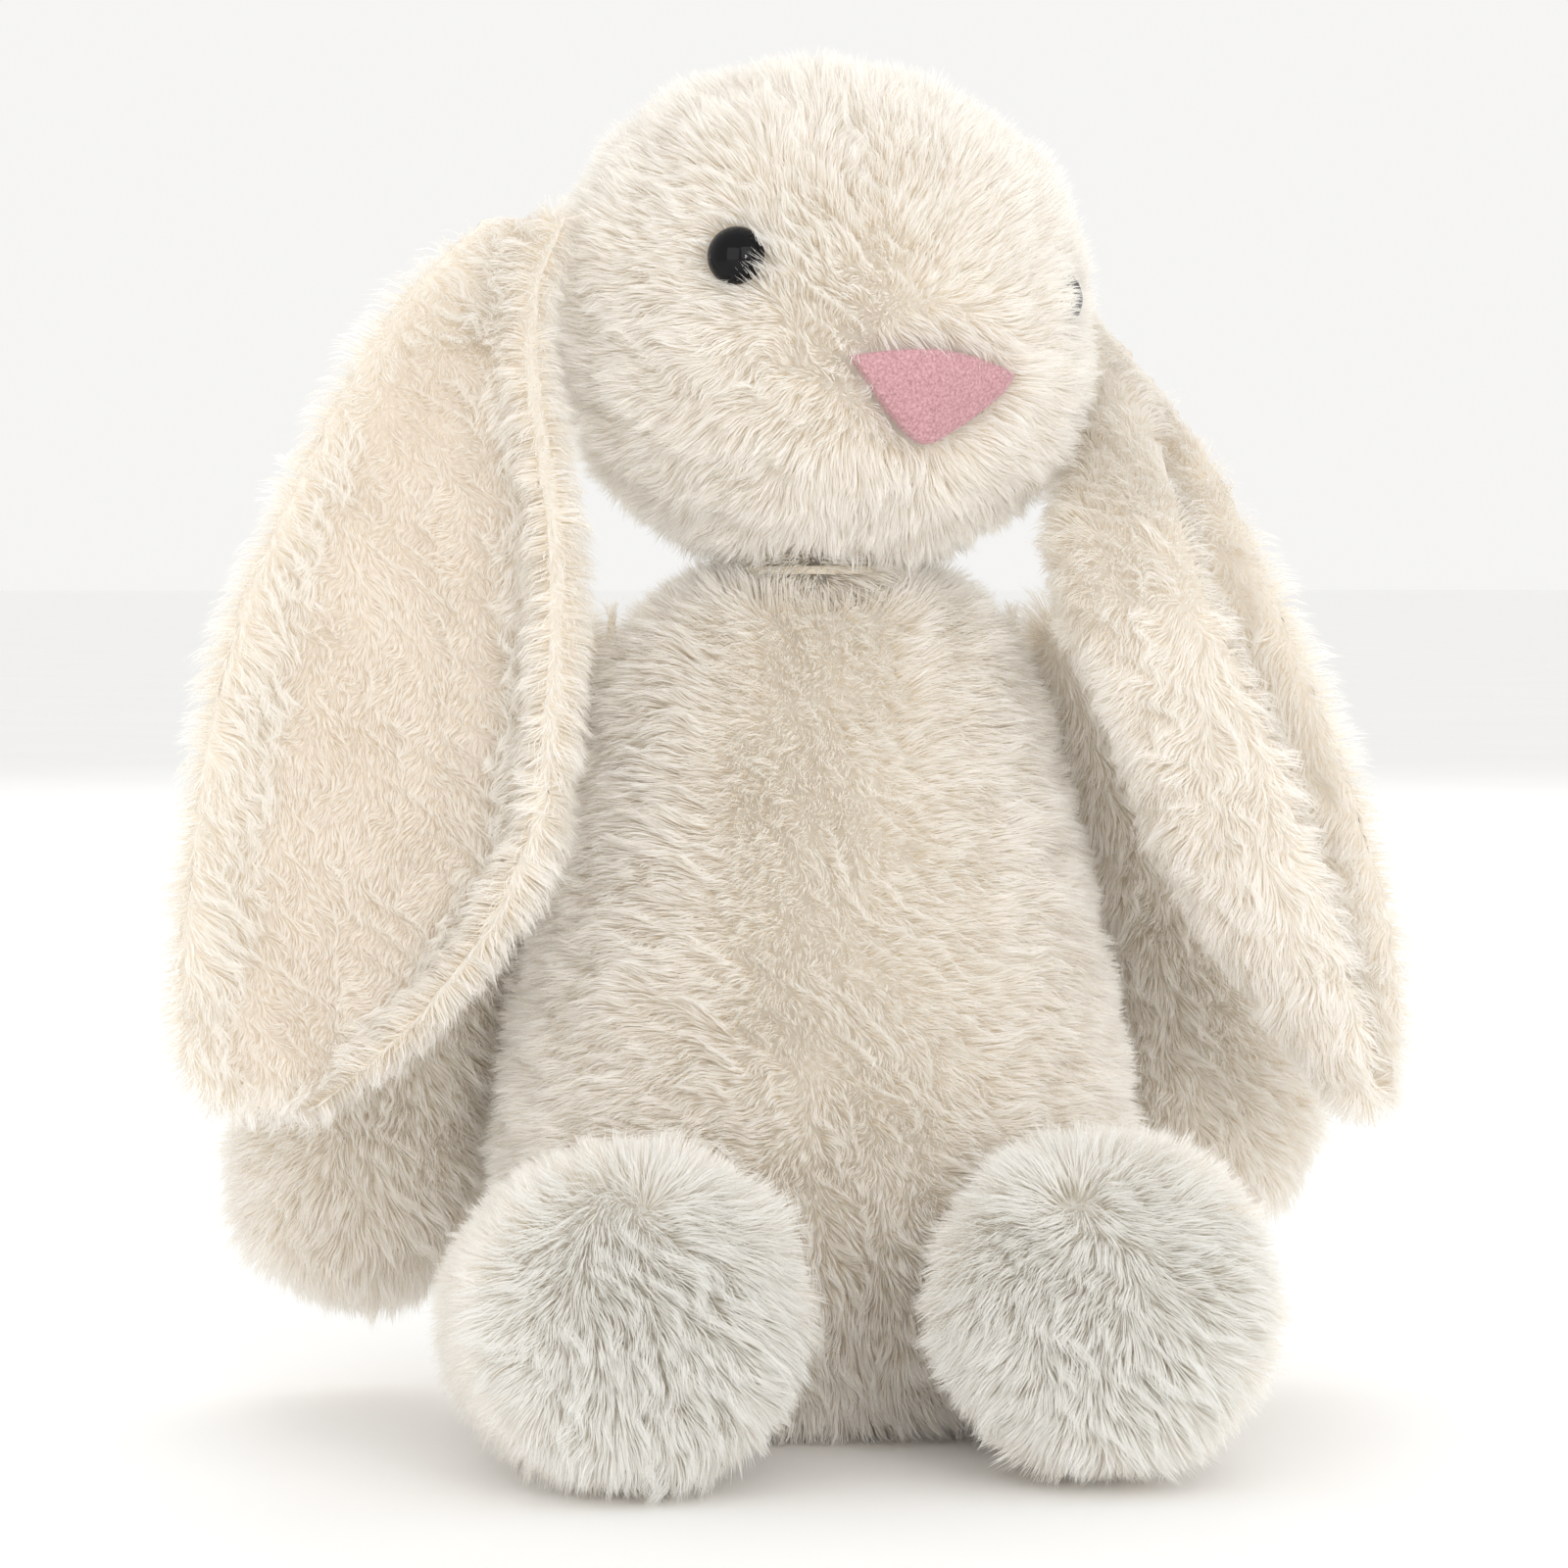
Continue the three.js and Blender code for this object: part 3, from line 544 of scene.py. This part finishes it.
def pile_mesh(name, skin, faces, node):
    """The mesh of one panel: its backing cloth and its strands."""
    coat_name, lay_of, _ = style_of(node)
    coat = COATS[coat_name]
    rng = np.random.default_rng(SEED + sorted(frame["nodes"]).index(node))
    root, normal, free = scatter(skin, faces, coat["density"], rng)
    comb = swirled(tangent(lay_of(root, normal), normal), root, normal, coat["swirl"])
    tuft = 1 + 0.10 * waves(root, 24 * MM, SEED + 2)[:, None]
    rise = np.minimum(coat["rise"] * MM * tuft, np.maximum(FREE_SHARE * free + 1 * MM, LEAST_RISE))
    lay = coat["lay"] * MM * (1 + 0.12 * waves(root, 30 * MM, SEED + 3)[:, None])
    if skin.name == "head":
        keep, comb = near_features(root, normal, comb)
        root, normal, comb, rise, lay = (v[keep] for v in (root, normal, comb, rise, lay))
    path, half = strands(root, normal, comb, rise, lay, coat, rng)
    used, cloth = np.unique(faces, return_inverse=True)
    cloth = cloth.reshape(faces.shape)
    return assembled(name, skin.points[used], cloth, strand_points(path, half), len(root), rng)


def strand_points(path, half):
    """Each strand's five points: two at its root, two at its bend and one at its tip."""
    sides = np.stack([path[:, :2] - half[:, :2], path[:, :2] + half[:, :2]], axis=2)
    return np.concatenate([sides.reshape(len(path), 4, 3), path[:, 2:]], axis=1).reshape(-1, 3)


def assembled(name, cloth_points, cloth, strand_points, count, rng):
    """One mesh of cloth quads and strands of a quad and a triangle each, with the map OFBake.

    The map's u is each strand's own shade and its v runs from root to tip.
    """
    mesh = bpy.data.meshes.new(name)
    base = len(cloth_points)
    corner = np.array([0, 1, 3, 2, 2, 3, 4])
    level = STEPS[[0, 0, 1, 1, 1, 1, 2]]
    strand_loops = base + np.arange(count)[:, None] * 5 + corner
    loops = np.concatenate([cloth.ravel(), strand_loops.ravel()])
    cloth_starts = np.arange(len(cloth)) * 4
    strand_starts = cloth.size + np.arange(count)[:, None] * 7 + np.array([0, 4])
    starts = np.concatenate([cloth_starts, strand_starts.ravel()])
    mesh.vertices.add(base + len(strand_points))
    every = np.concatenate([cloth_points, strand_points])
    mesh.vertices.foreach_set("co", every.astype(np.float32).ravel())
    mesh.loops.add(len(loops))
    mesh.loops.foreach_set("vertex_index", loops.astype(np.int32))
    mesh.polygons.add(len(starts))
    mesh.polygons.foreach_set("loop_start", starts.astype(np.int32))
    mesh.update(calc_edges=True)
    shade = np.clip(rng.normal(0.5, 0.15, count), 0.02, 0.98)
    u = np.concatenate([np.full(cloth.size, 0.5), np.repeat(shade, 7)])
    v = np.concatenate([np.full(cloth.size, CLOTH_SHADE), np.tile(level * 0.96 + 0.02, count)])
    layer = mesh.uv_layers.new(name="OFBake")
    layer.data.foreach_set("uv", np.stack([u, v], axis=1).astype(np.float32).ravel())
    smooth_shaded(mesh)
    return mesh


# ---------- materials ----------

def node_material(name, roughness):
    material = bpy.data.materials.new(name)
    material.use_nodes = True
    shader = material.node_tree.nodes["Principled BSDF"]
    shader.inputs["Roughness"].default_value = roughness
    return material, material.node_tree, shader


def linear(r, g, b):
    """A colour from 0 to 255 in screen values as the linear colour that nodes take."""
    def channel(c):
        c /= 255
        return c / 12.92 if c <= 0.04045 else ((c + 0.055) / 1.055) ** 2.4
    return channel(r), channel(g), channel(b), 1.0


def ramp(tree, factor, stops):
    node = tree.nodes.new("ShaderNodeValToRGB")
    elements = node.color_ramp.elements
    while len(elements) < len(stops):
        elements.new(0.5)
    for element, (position, colour) in zip(elements, stops):
        element.position = position
        element.color = colour
    tree.links.new(factor, node.inputs["Fac"])
    return node.outputs["Color"]


def multiplied(tree, first, second):
    node = tree.nodes.new("ShaderNodeMix")
    node.data_type = "RGBA"
    node.blend_type = "MULTIPLY"
    node.inputs["Factor"].default_value = 1.0
    tree.links.new(first, node.inputs["A"])
    tree.links.new(second, node.inputs["B"])
    return node.outputs["Result"]


def plush_material(name, root, middle_colour, tip, shade):
    """Pile that runs from a warm root to a pale tip, and that light glows through.

    A share of the strands, by their own shade, is multiplied by the colour shade.
    """
    material, tree, shader = node_material(name, 0.85)
    shader.inputs["Sheen Weight"].default_value = 0.2
    shader.inputs["Sheen Roughness"].default_value = 0.5
    shader.inputs["Specular IOR Level"].default_value = 0.2
    place_on = tree.nodes.new("ShaderNodeUVMap")
    place_on.uv_map = "OFBake"
    split = tree.nodes.new("ShaderNodeSeparateXYZ")
    tree.links.new(place_on.outputs["UV"], split.inputs["Vector"])
    length = ramp(tree, split.outputs["Y"], [(0, root), (0.45, middle_colour), (0.95, tip)])
    own = ramp(tree, split.outputs["X"], [(0.24, shade), (0.4, (1, 1, 1, 1))])
    colour = multiplied(tree, length, own)
    tree.links.new(colour, shader.inputs["Base Color"])
    glow = tree.nodes.new("ShaderNodeBsdfTranslucent")
    tree.links.new(colour, glow.inputs["Color"])
    both = tree.nodes.new("ShaderNodeMixShader")
    both.inputs[0].default_value = GLOW_SHARE
    tree.links.new(shader.outputs[0], both.inputs[1])
    tree.links.new(glow.outputs[0], both.inputs[2])
    tree.links.new(both.outputs[0], tree.nodes["Material Output"].inputs["Surface"])
    return material


def bumped(tree, shader, texture, distance, strength):
    node = tree.nodes.new("ShaderNodeBump")
    node.inputs["Distance"].default_value = distance
    node.inputs["Strength"].default_value = strength
    tree.links.new(texture, node.inputs["Height"])
    tree.links.new(node.outputs["Normal"], shader.inputs["Normal"])


def noise(tree, scale):
    node = tree.nodes.new("ShaderNodeTexNoise")
    node.inputs["Scale"].default_value = scale
    node.inputs["Detail"].default_value = 4
    where = tree.nodes.new("ShaderNodeTexCoord")
    tree.links.new(where.outputs["Object"], node.inputs["Vector"])
    return node.outputs[0]


def speckled_material(name, dark, light, scale, roughness, bump, sheen=0.0):
    """A surface whose colour and relief come from one fine noise."""
    material, tree, shader = node_material(name, roughness)
    grain = noise(tree, scale)
    tree.links.new(ramp(tree, grain, [(0.3, dark), (0.7, light)]), shader.inputs["Base Color"])
    shader.inputs["Sheen Weight"].default_value = sheen
    bumped(tree, shader, grain, bump, 0.6)
    return material


def eye_material():
    material, tree, shader = node_material("eye_plastic", 0.05)
    deep = ramp(tree, noise(tree, 90), [(0.3, linear(5, 5, 7)), (0.8, linear(12, 11, 12))])
    tree.links.new(deep, shader.inputs["Base Color"])
    shader.inputs["Specular IOR Level"].default_value = 0.2
    return material


def make_materials():
    """The materials by the names of their slots."""
    return {
        "plush_cream": plush_material("plush_cream", linear(250, 245, 236), linear(251, 249, 246),
                                      linear(252, 251, 248), linear(251, 247, 241)),
        "plush_sole": plush_material("plush_sole", linear(238, 234, 226), linear(244, 243, 240),
                                     linear(246, 246, 244), linear(242, 240, 236)),
        "plush_lining": plush_material("plush_lining", linear(249, 243, 235), linear(250, 247, 242),
                                       linear(251, 249, 245), linear(250, 245, 240)),
        "nose_velour": speckled_material("nose_velour", linear(158, 112, 118), linear(202, 158, 162),
                                         1400, 0.9, 0.4 * MM, 0.3),
        "fibrefill": speckled_material("fibrefill", linear(222, 221, 218), linear(248, 248, 246),
                                       300, 0.95, 1.5 * MM, 0.3),
        "pouch_cloth": speckled_material("pouch_cloth", linear(186, 176, 158), linear(214, 206, 190),
                                         900, 0.9, 0.3 * MM),
        "washer_plastic": speckled_material("washer_plastic", linear(226, 226, 222),
                                            linear(238, 238, 236), 200, 0.45, 0.05 * MM),
        "thread": speckled_material("thread", linear(236, 226, 206), linear(248, 242, 230),
                                    2200, 0.8, 0.2 * MM),
        "eye_plastic": eye_material(),
    }


# ---------- eyes and nose ----------

def axis_of_eye(side):
    """(front pole, axis, radius) of a bead, from its CAD solid and its washer."""
    bead = points_of(frame["nodes"][f"eye_{side}_bead"].data)
    washer = points_of(frame["nodes"][f"eye_{side}_washer"].data)
    axis = unit(bead.mean(0) - washer.mean(0))
    along = (bead - washer.mean(0)) @ axis
    off = bead - washer.mean(0) - along[:, None] * axis
    radius = np.linalg.norm(off, axis=1).max()
    return washer.mean(0) + axis * along.max(), axis, radius


EYES = {side: axis_of_eye(side) for side in ("left", "right")}


def eye_profile(radius, depth):
    """(radius, height) pairs from the front pole, over the dome and down the ribbed shank."""
    turns = 14
    profile = [(0.0, 0.0)]
    for i in range(1, turns + 1):
        a = math.pi / 2 * i / turns
        profile.append((radius * math.sin(a), -radius * DOME_HEIGHT * (1 - math.cos(a))))
    profile += [(radius * r, radius * z) for r, z in RIM_PROFILE]
    profile.append((SHANK_RADIUS, -radius * 0.95))
    rib = (depth - 1 * MM - radius) / SHANK_RIBS
    for i in range(SHANK_RIBS):
        at = -(radius + rib * i)
        profile += [(SHANK_RADIUS, at), (RIB_GROOVE, at - rib * 0.6)]
    profile.append((0.0, 1 * MM - depth))
    return profile


def turned(profile, pole, axis, segments=48):
    """The points and faces of a profile turned about an axis. Both of its ends lie on the axis."""
    across = unit(np.cross(axis, [0, 0, 1.0]))
    up = np.cross(across, axis)
    turn = [2 * math.pi * j / segments for j in range(segments)]
    points = [pole]
    for r, z in profile[1:-1]:
        points += [pole + axis * z + (across * math.cos(b) + up * math.sin(b)) * r for b in turn]
    last = len(points)
    points.append(pole + axis * profile[-1][1])
    faces = []
    for j in range(segments):
        k = (j + 1) % segments
        faces.append([0, 1 + k, 1 + j])
        for a in range(1, last - segments, segments):
            faces.append([a + j, a + k, a + segments + k, a + segments + j])
        faces.append([last - segments + j, last - segments + k, last])
    return np.array(points), faces


def make_eye(side, materials):
    """A glossy domed bead on its ribbed shank, set down into the pile."""
    front, axis, radius = EYES[side]
    pole = front - axis * EYE_SINK[side]
    depth = float(np.linalg.norm(pole - middle(f"eye_{side}_washer")))
    points, faces = turned(eye_profile(radius, depth), pole, axis)
    mesh = mesh_from(f"eye_{side}", points, faces)
    smooth_shaded(mesh)
    add_piece(f"eye_{side}_glossy_bead", mesh, "head", "eye_plastic", materials, f"eye_{side}_bead")


NOSE_TREE = tree_of("nose_patch")


def nose_covers(root, normal):
    """Which roots lie under the nose patch."""
    near = np.linalg.norm(root - NOSE, axis=1) < 45 * MM
    covered = np.zeros(len(root), bool)
    for i in np.flatnonzero(near):
        start = Vector(root[i] - normal[i] * 10 * MM)
        covered[i] = NOSE_TREE.ray_cast(start, Vector(normal[i]), 40 * MM)[0] is not None
    return covered


def make_nose(materials):
    """The velour patch, with softened edges and a fine nap."""
    mesh = mesh_from("nose", *remeshed(["nose_patch"], 0.9 * MM))
    smooth_shaded(mesh)
    patch = add_piece("nose_velour_patch", mesh, "head", "nose_velour", materials, "nose_patch")
    soften = patch.modifiers.new("soften", "SMOOTH")
    soften.iterations = 4


# ---------- assembling the object ----------

def make_panel(skin, number, materials):
    node = skin.panels[number]
    faces = skin.faces[skin.panel_of_face == number]
    mesh = pile_mesh(node + "_plush", skin, faces, node)
    add_piece(node + "_plush", mesh, skin.body, style_of(node)[2], materials, node)


def circle(turn):
    """Directions round the X axis."""
    return np.stack([0 * turn, np.cos(turn), np.sin(turn)], axis=1)


def make_seam_pile(side, materials):
    """The short pile that stands round the shoulder's stitches and hides them."""
    low, high = (np.array(c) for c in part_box(f"arm_{side}_stitching"))
    centre, radius, half_width = (low + high) / 2, (high[2] - low[2]) / 2, (high[0] - low[0]) / 2
    reach = np.array([half_width, 0, 0])
    coat = COATS["collar"]
    rng = np.random.default_rng(SEED + len(side))
    count = int(2 * math.pi * radius * 2 * half_width / MM**2 * coat["density"])
    normal = circle(rng.uniform(0, 2 * math.pi, count))
    across = rng.uniform(-1, 1, (count, 1)) * reach
    root = centre + normal * radius * BAND_INSET + across
    comb = tangent(DOWN + 0.3 * rng.normal(size=(count, 3)), normal)
    rise = np.full((count, 1), BAND_RISE)
    path, half = strands(root, normal, comb, rise, rise * 0.8, coat, rng)
    n = BAND_SEGMENTS
    edge = circle(np.arange(n) * 2 * math.pi / n) * radius * BAND_INSET + centre
    quads = [[j, (j + 1) % n, n + (j + 1) % n, n + j] for j in range(n)]
    name = f"arm_{side}_seam_pile"
    mesh = assembled(name, np.concatenate([edge - reach, edge + reach]), np.array(quads),
                     strand_points(path, half), count, rng)
    add_piece(name, mesh, f"shoulder_{side}", "plush_cream", materials)


def make_stuffing(skin, materials):
    """A lumpy core of loose fibre inside a stuffed part."""
    lumps = 0.8 * MM * waves(skin.points, 22 * MM, SEED + 9)[:, None]
    inward = skin.surface_normals * (STUFFING_GAP + lumps)
    mesh = mesh_from(skin.stuffing + "_core", skin.points - inward, skin.faces)
    smooth_shaded(mesh)
    add_piece(skin.stuffing + "_core", mesh, skin.body, "fibrefill", materials, skin.stuffing)


def paint_cad_nodes(materials):
    """Gives each CAD node that stays the material of its slot."""
    for row in frame["record"]["subparts"]:
        mesh = frame["nodes"][row["node"]].data
        mesh.materials.clear()
        mesh.materials.append(materials[row["material_slot"]])


def make_rabbit():
    materials = make_materials()
    paint_cad_nodes(materials)
    skins = [Skin(name) for name in PARTS]
    sink_all(skins)
    puff([s for s in skins if s.stuffing])
    for skin in skins:
        skin.smooth(2, 0.4)
    free_heights(skins)
    for skin in skins:
        for number in range(len(skin.panels)):
            make_panel(skin, number, materials)
        if skin.stuffing:
            make_stuffing(skin, materials)
    for side in EYES:
        make_eye(side, materials)
        make_seam_pile(side, materials)
    make_nose(materials)


# ---------- the studio ----------

VIEW_AZIMUTH = math.radians(-5.5)
VIEW_ELEVATION = math.radians(2.5)
VIEW_DISTANCE = 1.5
LENS = 117.8
SPINE_BEHIND_NECK = 7 * MM    # the upright line that the view is aimed from, behind the neck's middle
AIM_LEFT = 10.03 * MM         # and the middle of the view, from the foot of that line
AIM_UP = 182.2 * MM
FLOOR_REACH = 40
# name, place, width and power of the large lamps
LAMPS = [("key", (0.6, -1.9, 0.85), 1.4, 9.5), ("fill", (-1.0, -1.8, 0.75), 1.4, 7.0),
         ("back", (0.3, 3.0, 2.4), 2.4, 36.0)]
LAMP_AIM = (0, 0, 0.2)
# x and z of the small lamps that the eyes mirror, and what they share
CATCH_LIGHTS = [(0.33, 0.50), (0.42, 0.42), (0.32, 0.33)]
CATCH_Y = -1.5
CATCH_SIZE = 0.06
CATCH_POWER = 1.2


def make_camera():
    data = bpy.data.cameras.new("camera")
    camera = place("camera", data)
    data.lens = LENS
    data.sensor_width = 36
    data.clip_start, data.clip_end = 0.05, 100
    a, e = VIEW_AZIMUTH, VIEW_ELEVATION
    back = Vector((math.sin(a) * math.cos(e), -math.cos(a) * math.cos(e), math.sin(e)))
    right = Vector((math.cos(a), math.sin(a), 0))
    up = back.cross(right)
    spine = Vector((CENTRE_X, middle("neck_stuffing")[1] + SPINE_BEHIND_NECK, 0))
    aim = spine - right * AIM_LEFT + up * AIM_UP
    camera.location = aim + back * VIEW_DISTANCE
    camera.rotation_mode = "QUATERNION"
    camera.rotation_quaternion = (-back).to_track_quat("-Z", "Y")
    bpy.context.scene.camera = camera


def area_light(name, where, aim, size, power):
    data = bpy.data.lights.new(name, "AREA")
    data.size = size
    data.energy = power
    light = place(name, data)
    light.location = where
    light.rotation_mode = "QUATERNION"
    light.rotation_quaternion = (Vector(aim) - Vector(where)).to_track_quat("-Z", "Y")


def make_floor():
    corners = FLOOR_REACH * np.array([[-1, -1, 0], [1, -1, 0], [1, 1, 0], [-1, 1, 0]])
    mesh = mesh_from("floor", corners, [[0, 1, 2, 3]])
    floor = place("floor", mesh)
    pale = linear(249, 249, 248), linear(251, 251, 251)
    mesh.materials.append(speckled_material("floor", *pale, scale=4, roughness=0.9, bump=0.0))


def make_lights():
    for name, where, size, power in LAMPS:
        area_light(name, where, LAMP_AIM, size, power)
    for number, (x, z) in enumerate(CATCH_LIGHTS):
        area_light(f"catch_{number}", (x, CATCH_Y, z), tuple(HEAD), CATCH_SIZE, CATCH_POWER)
    world = bpy.data.worlds.new("studio")
    bpy.context.scene.world = world
    world.use_nodes = True
    background = world.node_tree.nodes["Background"]
    background.inputs["Color"].default_value = (1, 0.995, 0.985, 1)
    background.inputs["Strength"].default_value = 0.92


def set_view():
    """Plain colours, and enough bounces for light to get through the pile."""
    scene = bpy.context.scene
    scene.view_settings.view_transform = "Standard"
    scene.view_settings.look = "None"
    scene.cycles.max_bounces = 14
    scene.cycles.diffuse_bounces = 10
    scene.cycles.transmission_bounces = 8


make_camera()
make_rabbit()
make_floor()
make_lights()
set_view()
